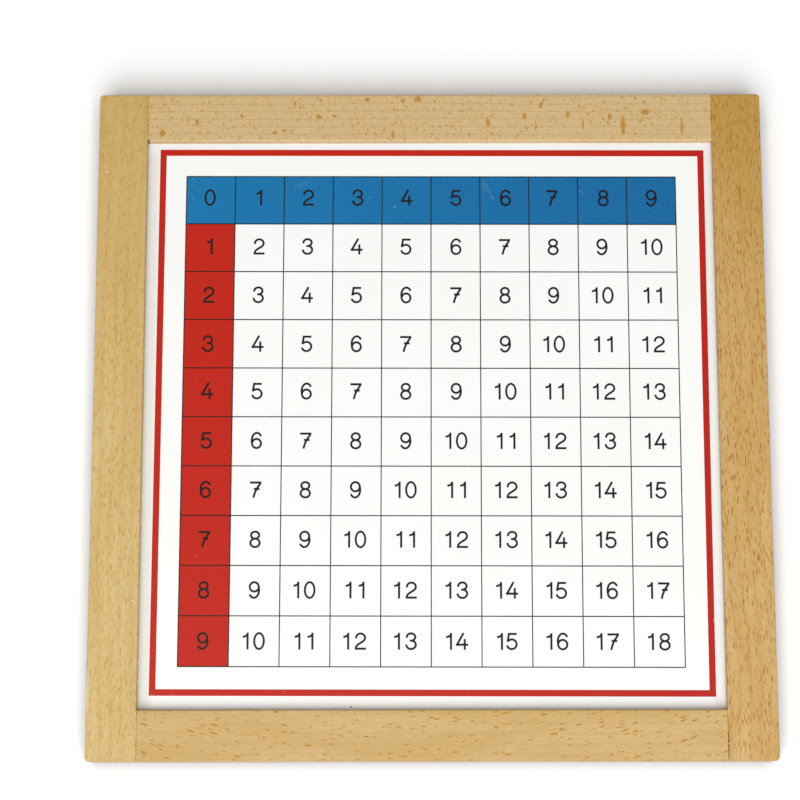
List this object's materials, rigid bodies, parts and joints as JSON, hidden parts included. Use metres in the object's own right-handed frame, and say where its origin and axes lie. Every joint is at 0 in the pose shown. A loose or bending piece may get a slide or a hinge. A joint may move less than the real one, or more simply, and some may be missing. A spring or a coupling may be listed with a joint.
{
  "type": "addition memorization board",
  "caption": "Square beech frame holding a white panel printed with a red border and an addition table with a blue top row and a red left column.",
  "frame": {"origin": "middle of the board's back, on the surface that it lies on", "axes": "+X to the right of the print, +Y towards the blue row, +Z out of the printed face"},
  "size_m": [0.34, 0.34, 0.018],
  "materials": {
    "beech": "satin",
    "white_panel": "satin",
    "red_ink": "satin",
    "blue_ink": "satin",
    "dark_ink": "satin"
  },
  "bodies": {
    "root": {"left_stile": "beech", "right_stile": "beech", "top_rail": "beech", "bottom_rail": "beech", "panel": "white_panel", "border_print": "red_ink", "blue_row_print": "blue_ink", "red_column_print": "red_ink", "grid_print": "dark_ink", "numerals_print": "dark_ink"}
  },
  "joints": []
}
